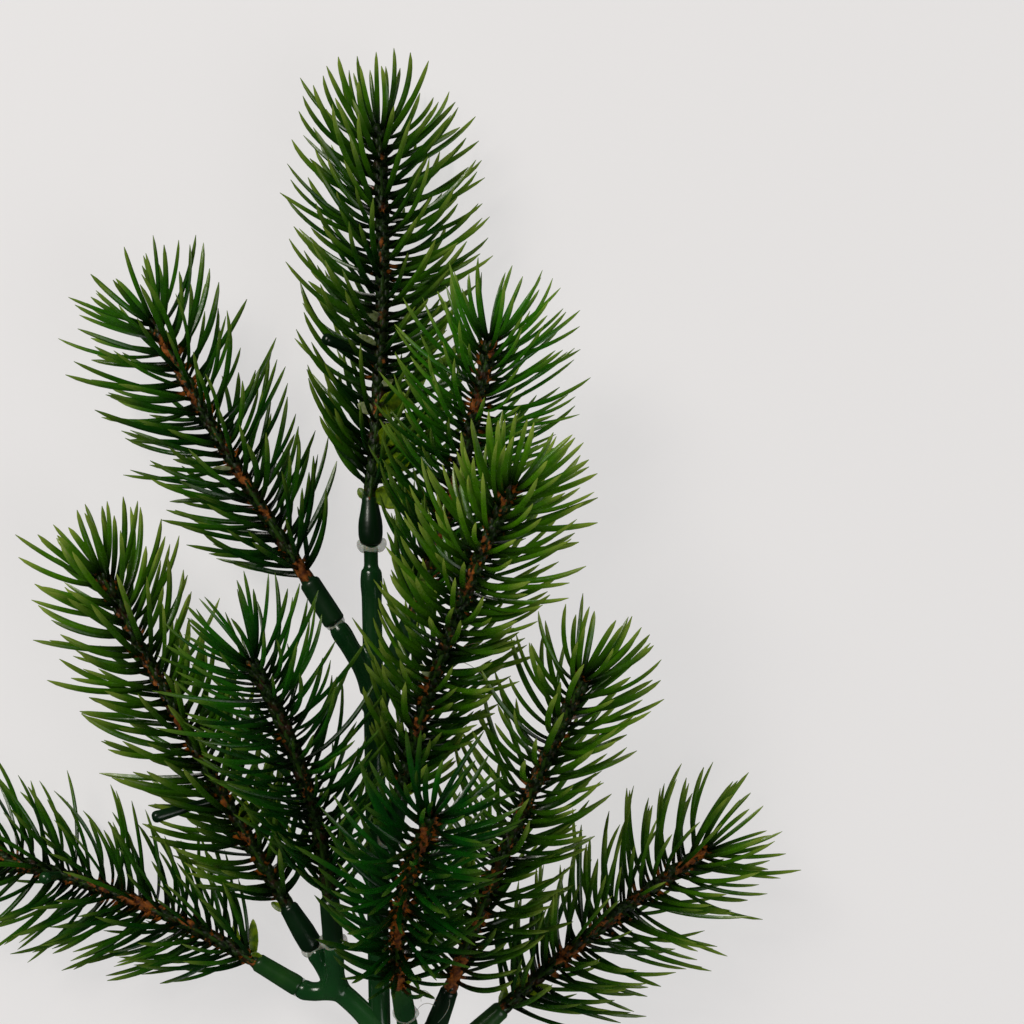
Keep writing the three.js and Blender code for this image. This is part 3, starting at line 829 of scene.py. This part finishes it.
# Joins rings of points into one skin. A ring whose points are all the same is a closed pole.
def skinRings(target, rings, materialIndex=0, capped=True):
    for low, high in zip(rings, rings[1:]):
        for k in range(len(low)):
            after = (k + 1) % len(low)
            addFace(target, tuple(dict.fromkeys((low[k], high[k], high[after], low[after]))), materialIndex)
    for ring in (rings[0], rings[-1]) if capped else ():
        addFace(target, ring, materialIndex)


def circleAngles(sides):
    return [2 * math.pi * k / sides for k in range(sides)]


# A round shape about a line in the row frame, from [distance along it, radius] corners in millimetres
def latheInto(target, matrix, profile, sides, materialIndex, wobble=0.0):
    rings = []
    for along, radius in profile:
        if radius == 0:
            rings.append([target.verts.new(matrix @ Vector((0, along * mm, 0)))] * sides)
            continue
        ring = []
        for angle in circleAngles(sides):
            spot = Vector((math.cos(angle), 0, math.sin(angle)))
            sample = spot * 1.3 + Vector((along * 0.6, radius, matrix[0][3] * 300))
            spread = radius * (1 + wobble * noise.noise(sample))
            ring.append(target.verts.new(matrix @ (Vector((spot.x * spread, along, spot.z * spread)) * mm)))
        rings.append(ring)
    skinRings(target, rings, materialIndex, capped=False)


# A tube along points with a radius at each, in millimetres, closed at both ends
def tubeInto(target, path, radii, sides, materialIndex=0):
    rings = []
    for k, (spot, radius) in enumerate(zip(path, radii)):
        ahead, behind = path[min(k + 1, len(path) - 1)], path[max(k - 1, 0)]
        along = (ahead - behind).normalized()
        reference = Vector((0, 0, 1)) if abs(along.z) < 0.9 else Vector((1, 0, 0))
        right = along.cross(reference).normalized()
        face = right.cross(along)
        ways = [right * math.cos(angle) + face * math.sin(angle) for angle in circleAngles(sides)]
        rings.append([target.verts.new(spot + way * radius * mm) for way in ways])
    skinRings(target, rings, materialIndex)


def meshFrom(target, name, materials):
    bmesh.ops.recalc_face_normals(target, faces=target.faces)
    mesh = bpy.data.meshes.new(name)
    target.to_mesh(mesh)
    target.free()
    for material in materials:
        mesh.materials.append(material)
    return mesh


sleeveValues = dict(
    sides=40, wobble=0.03, boreRadius=1.7, boreDepth=7.5, lip=0.05, neckRadius=1.5, neckTop=1.6,
    mouthSteps=8, mouthStart=12,  # the angle at which its rounded mouth starts, in degrees
)


# A sleeve: rounded lower end, waisted middle, a shoulder at its top, and the bore that the peg stands in
def sleeveInto(target, sprig, materialIndex):
    values = sleeveValues
    low, middle, high, rounding = sprig["sleeve"]
    top, bore, steps = sleeveLength, values["boreRadius"], values["mouthSteps"]
    rim, start, neckTop = bore + values["lip"], values["mouthStart"], top + values["neckTop"]
    profile = [(values["boreDepth"], 0), (values["boreDepth"], bore), (0.5, bore), (0.0, rim)]
    for k in range(steps):
        turn = math.radians(start + (90 - start) * k / (steps - 1))
        profile.append((rounding * (1 - math.cos(turn)), rim + (low - rim) * math.sin(turn)))
    profile += [
        (rounding + 1.2, low), (rounding + 2.6, (low + middle) / 2), (7.5, (middle + high) / 2), (9.6, high),
        (top - 0.7, high), (top - 0.2, high - 0.25), (top, high - 0.6),
        (top + 0.5, values["neckRadius"]), (neckTop, 1.2), (neckTop, 0),
    ]
    latheInto(target, sprigMatrix(sprig), profile, values["sides"], materialIndex, values["wobble"])


# lean: degrees towards the twig's end; knob: how long its round end is
stubValues = dict(lean=15, knob=1.25, sides=20, wobble=0.05)


# A moulding stub's own frame: its foot on the twig's axis, its length along +Y
def stubMatrix(sprig):
    share, azimuth = sprig["stub"][:2]
    path, along, outward = roundTwig(sprig, max(share - 0.01, 0), share + 0.01, azimuth)
    lean = (outward + along * math.tan(math.radians(stubValues["lean"]))).normalized()
    return Matrix.Translation(path[1]) @ Vector((0, 1, 0)).rotation_difference(lean).to_matrix().to_4x4()


# It ends round, in a small knob
def stubInto(target, sprig, materialIndex):
    values = stubValues
    length = sprig["stub"][2]
    end = length + values["knob"]
    profile = [
        (0, 0), (0, 0.8), (2, 0.85), (length * 0.6, 1.0), (length - 0.6, 1.28), (end - 1.0, 1.35),
        (end - 0.45, 1.15), (end - 0.12, 0.7), (end, 0),
    ]
    latheInto(target, stubMatrix(sprig), profile, values["sides"], materialIndex, values["wobble"])


# Flakes: share along the twig, degrees round it, length, width, degrees from the twig, pale or not
flakes = {
    "leader": [
        (0.012, 58, 10.5, 5.6, 88, False), (0.085, 44, 11.0, 5.4, 78, False), (0.16, 44, 9.5, 5.0, 72, False),
        (0.24, 46, 8.5, 5.2, 66, False), (0.0, -95, 3, 2.0, 40, False), (0.41, -56, 6, 2.4, 68, True),
        (0.485, -40, 4, 2.4, 72, True), (0.235, -64, 4, 2.6, 70, True), (0.30, 50, 4, 2.0, 50, True),
    ],
    "leftLow": [(0.03, 88, 8.0, 2.2, 58, False), (0.09, 80, 5, 1.8, 50, False), (0.0, 40, 3, 2.6, 20, False)],
    "leftLong": [(0.0, -110, 4, 1.8, 35, False), (0.25, 60, 6, 2.8, 40, False)],
    "lowerFront": [(0.0, -80, 3.2, 2.2, 12, False), (0.03, 80, 4, 2.0, 30, False)],
    "rightLow": [
        (0.10, -60, 5, 2.8, 30, False), (0.13, 70, 5.5, 2.6, 30, False), (0.02, -80, 4, 2, 30, False),
    ],
    "front": [(0.03, 60, 4.5, 2.2, 35, False), (0.4, -60, 4, 1.8, 50, True)],
    "upperLeft": [(0.45, -70, 5, 2.0, 60, True)],
}
flakeValues = dict(
    sides=10, thickness=0.44, rootedAt=0.9, hollow=0.5, droop=0.4,
    outline=[(0, 0.35), (0.15, 0.7), (0.4, 1.0), (0.65, 0.95), (0.85, 0.65), (0.96, 0.3), (1, 0.04)],
)


# A thin flake, hollowed like a spoon, that droops towards its tip
def flakeInto(target, sprig, flake, greenIndex, paleIndex):
    values = flakeValues
    share, azimuth, length, width, lean, pale = flake
    path, along, outward = roundTwig(sprig, share, share + 0.02, azimuth)
    heading = along * math.cos(math.radians(lean)) + outward * math.sin(math.radians(lean))
    across = heading.cross(Vector((0, 0, 1))).normalized()
    thick = across.cross(heading)
    rings = []
    for at, breadth in values["outline"]:
        ring = []
        middle = path[0] + outward * (values["rootedAt"] * mm) + heading * (at * length * mm)
        for turn in circleAngles(values["sides"]):
            spot = middle + across * (math.cos(turn) * width * breadth * 0.5 * mm)
            bowl = values["hollow"] * math.cos(turn) ** 2 * breadth - values["droop"] * at
            depth = math.sin(turn) * values["thickness"] / 2 * min(1, breadth * 2)
            ring.append(target.verts.new(spot + thick * ((depth + bowl) * mm)))
        rings.append(ring)
    skinRings(target, rings, paleIndex if pale else greenIndex)


# Hairs of glue, as three points each in the stem's frame: where they start, turn and end
wisps = {
    "front": [
        ((18, 168, 27), (22, 172, 31), (27, 170, 30)), ((18, 169, 27), (21, 176, 30), (26, 175, 31)),
        ((19, 167, 27), (23, 166, 30), (25, 163, 29)),
    ],
    "rightLong": [
        ((13, 90, 5), (10, 93, 7), (8, 89, 6)), ((15, 94, 6), (17, 91, 8), (13, 87, 6)),
        ((13, 91, 5), (9, 97, 7), (9.5, 92, 8)),
    ],
}
wispValues = dict(radius=0.12, thinning=0.6, steps=10, sides=6)


def wispInto(target, wisp, materialIndex):
    values = wispValues
    shares = [k / (values["steps"] - 1) for k in range(values["steps"])]
    path = [place(*quadratic(*(Vector(point) for point in wisp), share)) for share in shares]
    radii = [values["radius"] * (1 - values["thinning"] * share) for share in shares]
    tubeInto(target, path, radii, values["sides"], materialIndex)


arms = {
    "leftArm": dict(root=(0, 84, 0), fork=(-9.6, 94.2, 1), carries=["leftLong", "leftInner", "leftLow"]),
    "rightArm": dict(
        root=(0, 62, 0), fork=(11.2, 75.5, 0.5), carries=["lowerFront", "rightLong", "rightLow"],
    ),
}
stemPegs = {"upperLeft": 160, "upperRight": 155, "front": 113}
limbValues = dict(
    lowRadius=2.6, highRadius=2.2, top=186, armRadius=2.1, trunkRadius=2.35, pegRadius=1.6, pegDepth=6.5,
    fillet=1.2, filletFade=2.6, trunkFlare=0.8,  # how much thicker a limb starts, and how soon that fades
    shoulder=0.2, shoulderAt=0.86, shoulderWidth=0.12, topBulge=0.3, leadingPegEnd=197.7,
    armTurn=(0.4, 0.55), pegTurn=0.4,  # where they bend, as shares of the way
    steps=14, trunkSteps=12, sides=28, voxel=0.3, softness=0.5, rounding=10,
)


def armTrunk(arm, count):
    start, end = Vector(arm["root"]), Vector(arm["fork"])
    across, up = limbValues["armTurn"]
    turn = Vector((start.x + (end.x - start.x) * across, start.y + (end.y - start.y) * up, end.z))
    return [place(*quadratic(start, turn, end, k / (count - 1))) for k in range(count)]


# The line of a limb from where it leaves to the neck below a sprig's sleeve
def pegPath(start, sprig, count):
    direction = sleeveHeading(sprig)
    neck = place(*sprig["foot"]) - direction * (sprig["neck"] * mm)
    turn = neck - direction * ((start - neck).length * limbValues["pegTurn"])
    return [quadratic(start, turn, neck, k / (count - 1)) for k in range(count)]


# Everything that a sprig's needles have to pass: the stem, both arms and the other sprigs, as lines
def otherLimbs(name):
    lines = [[place(0, y) for y in range(0, 198, 4)]]
    for arm in arms.values():
        lines.append(armTrunk(arm, 8))
        lines += [pegPath(place(*arm["fork"]), sprigs[carried], 6) for carried in arm["carries"]]
    lines += [pegPath(place(0, height), sprigs[carried], 6) for carried, height in stemPegs.items()]
    lines += [[place(*sprig["foot"])] + twigPath(sprig, 16) for key, sprig in sprigs.items() if key != name]
    return lineObject(name + "Limbs", lines)


# A limb with a swollen shoulder, where it steps down to the peg that goes on into the sleeve
def peggedLimbInto(target, start, sprig):
    values = limbValues
    path = pegPath(start, sprig, values["steps"])
    direction, end, thin = sleeveHeading(sprig), path[-1], values["pegRadius"]
    radii = []
    for k in range(values["steps"]):
        share = k / (values["steps"] - 1)
        flare = values["fillet"] * max(0, 1 - share * values["filletFade"]) ** 2
        offset = (share - values["shoulderAt"]) / values["shoulderWidth"]
        radii.append(values["armRadius"] + flare + values["shoulder"] * math.exp(-offset ** 2))
    pegEnd = sprig["neck"] + values["pegDepth"]
    stepped = ((0.35, values["armRadius"] - 0.15), (0.7, thin + 0.15), (1.2, thin), (pegEnd, thin))
    for ahead, radius in stepped:
        path.append(end + direction * ahead * mm)
        radii.append(radius)
    tubeInto(target, path, radii, values["sides"])


# One smooth body from overlapping tubes, with soft hollows where they meet
def blended(target, name, material):
    values = limbValues
    carrier = linked(name + "Blend", meshFrom(target, name, [material]))
    remesh = carrier.modifiers.new("join", "REMESH")
    remesh.mode, remesh.voxel_size, remesh.use_smooth_shade = "VOXEL", values["voxel"] * mm, True
    soften = carrier.modifiers.new("soften", "SMOOTH")
    soften.factor, soften.iterations = values["softness"], values["rounding"]
    return plainMesh(carrier)


# The stem or an arm: its own tube, and the limb to each sprig that it carries from the given point
def makeLimb(name, path, radii, carried, material):
    body = bmesh.new()
    tubeInto(body, path, radii, limbValues["sides"])
    for sprigName, start in carried.items():
        peggedLimbInto(body, place(*start), sprigs[sprigName])
    piece(name, blended(body, name, material), nodeOf(name))


def makeStem():
    values = limbValues
    top, low, high, thin = (values[key] for key in ("top", "lowRadius", "highRadius", "pegRadius"))
    rings = []
    for height in (0, 0.4, 1.2, *range(6, top - 8, 6), top - 6, top - 4, top - 2.5, top - 1.2, top - 0.4):
        bulge = values["topBulge"] * math.exp(-((height - (top - 3)) / 2.2) ** 2)
        crush = -0.5 if height == 0 else (-0.15 if height < 1 else 0)  # the rounded rim of the cut
        rings.append((height, low + (high - low) * (height / top) + bulge + crush))
    rings += [(top + 0.1, thin + 0.15), (top + 0.8, thin), (values["leadingPegEnd"], thin)]
    path, radii = [place(0, height) for height, radius in rings], [radius for height, radius in rings]
    carried = {name: (0, height) for name, height in stemPegs.items()}
    makeLimb("mainStem", path, radii, carried, stemMaterial)


def makeArm(name, arm):
    values = limbValues
    steps = values["trunkSteps"]
    flares = [max(0, 1 - 2 * k / steps) ** 2 for k in range(steps)]
    radii = [values["trunkRadius"] + values["trunkFlare"] * flare for flare in flares]
    makeLimb(name, armTrunk(arm, steps), radii, dict.fromkeys(arm["carries"], arm["fork"]), armMaterial)


makeStem()
for armName, arm in arms.items():
    makeArm(armName, arm)
print("the stem and both arms are moulded")

growNeedles = needleTree()
growTwig = twigTree()
# how far up its foot a twig is brown all over, and the sprigs whose sleeves are not worn
brownFeet = {"lowerFront": 6, "rightLong": 9, "upperLeft": 5}
freshSleeves = ("lowerFront", "leftLow", "rightLow")


def growSprigNeedles(name, sprig, seed):
    ends = twigPath(sprig, 12)
    limbs = otherLimbs(name)
    stubEnd, stubGap = Vector((0, 0, 0)), 0
    if sprig["stub"]:
        length, stubGap = sprig["stub"][2:]
        stubEnd = stubMatrix(sprig) @ Vector((0, length * mm, 0))
    mesh = grown(lineObject(name + "Line", [twigPath(sprig, 40, 0.035, 0.985)]), growNeedles, {
        "Count": sprig["needles"], "Seed": seed, "Upper Side": tuple(upperSide(sprig)),
        "Twig End": tuple(ends[-1]), "Twig Heading": tuple((ends[-1] - ends[-2]).normalized()),
        "Freshness": sprig["fresh"], "Emerald": sprig["hue"], "Root Paint": sprig["paint"],
        "Spread": math.radians(sprig["spread"]), "Skew": math.radians(sprig["skew"]),
        "Foot Flare": sprig["flare"], "Hook": math.radians(sprig["hook"]),
        "Needle Length": needleValues["length"] * sprig["reach"] * mm, "Needle Width": sprig["width"] * mm,
        "Crown Spread": math.radians(sprig["crown"][0]), "Crown Length": sprig["crown"][1] * mm,
        "Stub End": tuple(stubEnd), "Stub Gap": stubGap * mm,
        "Other Limbs": limbs, "Material": needleMaterial,
    })
    bpy.data.objects.remove(limbs)
    piece(name + "Needles", mesh, nodeOf(name) + "_sprig")


# The twig with its sleeve, stub, flakes and hairs of glue
def growSprigTwig(name, sprig, seed):
    cushion = (twigValues[key] / 2 * mm for key in ("cushionWidth", "cushionLength", "cushionHeight"))
    twig = grown(lineObject(name + "TwigLine", [twigPath(sprig, 40)]), growTwig, {
        "Count": sprig["needles"], "Seed": seed, "Cushion Size": tuple(cushion),
        "Upper Side": tuple(upperSide(sprig)), "Material": twigMaterial,
    })
    body = bmesh.new()
    body.from_mesh(twig)
    for face in body.faces:
        face.material_index = 0
    sleeve = freshSleeveMaterial if name in freshSleeves else sleeveMaterial
    materials = [twigMaterial, sleeve, scaleMaterial, paleScaleMaterial, glueMaterial]
    sleeveIndex, greenIndex, paleIndex, glueIndex = range(1, len(materials))
    sleeveInto(body, sprig, sleeveIndex)
    if sprig["stub"]:
        stubInto(body, sprig, sleeveIndex)
    for flake in flakes.get(name, []):
        flakeInto(body, sprig, flake, greenIndex, paleIndex)
    for wisp in wisps.get(name, []):
        wispInto(body, wisp, glueIndex)
    painted = body.verts.layers.float.new("painted")
    spot = body.verts.layers.float_vector.new("spot")  # millimetres in the sprig's own frame
    matrix = sprigMatrix(sprig).inverted()
    for vertex in body.verts:
        vertex[spot] = (matrix @ vertex.co) / mm
        height = abs(vertex[spot].z)
        foot = vertex[spot].y < sleeveLength + brownFeet.get(name, -sleeveLength)
        amount = 1.8 if foot else sprig["paint"]
        vertex[painted] = amount * min(1, max(0, (height - 0.25) / 0.6))  # above and below, not at the sides
    piece(name + "Twig", meshFrom(body, name + "Twig", materials), nodeOf(name) + "_sprig")


for order, (sprigName, sprig) in enumerate(sprigs.items()):
    for growPart in (growSprigNeedles, growSprigTwig):
        growPart(sprigName, sprig, needleValues["seed"] + 10 * order)
print("ten sprigs are grown")

glueValues = dict(
    neck=1.65, sides=40, lobes=0.45, bareTop=0.85,  # lobes: how uneven the bead is; bareTop: thinner above
    section=[
        (-1.5, 0.0), (-1.6, 0.25), (-1.35, 0.9), (-0.7, 1.45), (0.0, 1.7),
        (0.7, 1.65), (1.2, 1.35), (1.35, 1.0), (0.9, 0.3), (0.2, 0.0),
    ],
)


# A bead of glue squeezed out of the sleeve's mouth: it hugs the rounded mouth and the peg below it
def makeGlue(name, sprig):
    values, size, heading = glueValues, sprig["glue"], sprig["heading"]
    body = bmesh.new()
    matrix = sprigMatrix(sprig)
    rings = []
    for angle in circleAngles(values["sides"]):
        around = Vector((math.cos(angle), 0, math.sin(angle)))
        top = max(0, around.z)
        lobe = 1 + values["lobes"] * noise.noise(around * 1.4 + Vector((len(name), heading, 0)))
        lobe *= 1 - values["bareTop"] * top ** 0.7
        drift = 0.5 * noise.noise(around * 1.1 + Vector((heading, len(name), 3))) - 0.9 * top
        ring = []
        for along, thick in values["section"]:
            ahead = (along * (0.2 + 0.8 * lobe) + drift) * (0.4 + 0.6 * size)
            spot = around * (values["neck"] + thick * size * lobe) + Vector((0, ahead, 0))
            ring.append(body.verts.new(matrix @ (spot * mm)))
        rings.append(ring)
    skinRings(body, rings + rings[:1], capped=False)
    piece(name + "Glue", meshFrom(body, name + "Glue", [glueMaterial]), nodeOf(name) + "_glue")


for sprigName, sprig in sprigs.items():
    makeGlue(sprigName, sprig)
print("glue beads are set")

floorLook = dict(color=(0.28, 0.27, 0.27, 1), glow=0.6, radius=3.0, bend=1.0, wall=2.2, sides=64)


# A pale floor that curves up into a low wall all round
def makeFloor():
    look = floorLook
    tree = MaterialTree("paleFloor", {
        "Base Color": look["color"], "Roughness": 0.9, "Specular IOR Level": 0.1,
        "Emission Color": (1.0, 0.985, 0.98, 1), "Emission Strength": look["glow"],
    })
    cove = bmesh.new()
    radius, bend = look["radius"], look["bend"]
    turns = [math.radians(turn) for turn in range(0, 91, 15)]
    profile = [(radius + bend * math.sin(turn), bend * (1 - math.cos(turn))) for turn in turns]
    rings = []
    for out, up in profile + [(radius + bend, look["wall"])]:
        spots = [(out * math.cos(angle), out * math.sin(angle), up) for angle in circleAngles(look["sides"])]
        rings.append([cove.verts.new(spot) for spot in spots])
    skinRings(cove, rings, capped=False)
    bmesh.ops.reverse_faces(cove, faces=cove.faces)  # towards the branch
    cove.faces.new(rings[0])
    mesh = bpy.data.meshes.new("floor")
    cove.to_mesh(mesh)
    cove.free()
    mesh.materials.append(tree.material)
    floor = linked("floor", mesh)
    floor.visible_glossy = False  # its glow stays out of the plastic's reflections


lampLook = dict(
    keyLight=dict(size=0.35, power=5.0, location=(-0.45, 0.5, 0.8), color=(1.0, 0.965, 0.9)),
    fillLight=dict(size=0.5, power=2.0, location=(0.6, -0.3, 0.8), color=(1, 1, 1)),
)
worldStrength = 0.02


def makeLight(name, look):
    lamp = bpy.data.lights.new(name, "AREA")
    lamp.shape, lamp.size, lamp.energy, lamp.color = "SQUARE", look["size"], look["power"], look["color"]
    item = linked(name, lamp)
    item.location = look["location"]
    item.rotation_euler = (-Vector(look["location"])).to_track_quat("-Z", "Y").to_euler()


def makeWorld():
    world = bpy.data.worlds.new("studio")
    world.use_nodes = True
    background = world.node_tree.nodes["Background"]
    background.inputs["Color"].default_value = (1, 1, 1, 1)
    background.inputs["Strength"].default_value = worldStrength
    bpy.context.scene.world = world


cameraLook = dict(over=(31.2, 197.9), height=600, frameWidth=225.28, turn=1.07)


def makeCamera():
    look = cameraLook
    data = bpy.data.cameras.new("camera")
    data.sensor_fit = "HORIZONTAL"
    data.angle = 2 * math.atan(look["frameWidth"] / 2 / look["height"])
    data.clip_start, data.clip_end = 0.01, 20
    camera = linked("camera", data)
    camera.location = place(*look["over"], look["height"])
    camera.rotation_euler = (0, 0, math.radians(-look["turn"]))
    bpy.context.scene.camera = camera
    bpy.context.scene.view_settings.view_transform = "Standard"


makeFloor()
makeWorld()
for lampName, look in lampLook.items():
    makeLight(lampName, look)
makeCamera()
print("floor, light and camera stand")
